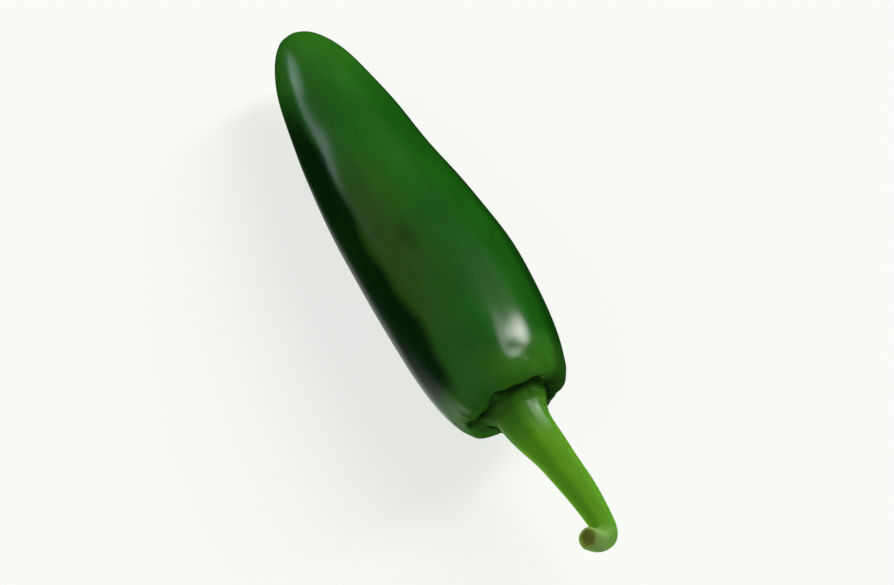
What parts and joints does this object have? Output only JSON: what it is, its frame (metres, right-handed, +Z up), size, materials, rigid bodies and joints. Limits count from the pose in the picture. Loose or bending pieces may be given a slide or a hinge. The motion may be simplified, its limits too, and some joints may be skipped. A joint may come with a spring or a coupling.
{
  "type": "green chilli pepper",
  "caption": "Whole green chilli pepper lying on its side: a blunt tapered pod with a toothed calyx in its hollow end and a ridged, hooked stem.",
  "frame": {"origin": "on the surface it lies on, under the middle of its bounding box", "axes": "+X along the pod from its tip towards the stem, +Z up as it lies, +Y across"},
  "size_m": [0.1204, 0.0264, 0.0266],
  "materials": {
    "pod_skin": "smooth waxy green skin, glossy",
    "calyx_green": "thin leathery green, satin",
    "stem_green": "ridged yellow-green stalk, satin"
  },
  "bodies": {
    "root": {"pod": "pod_skin", "calyx": "calyx_green", "stem": "stem_green"}
  },
  "joints": []
}
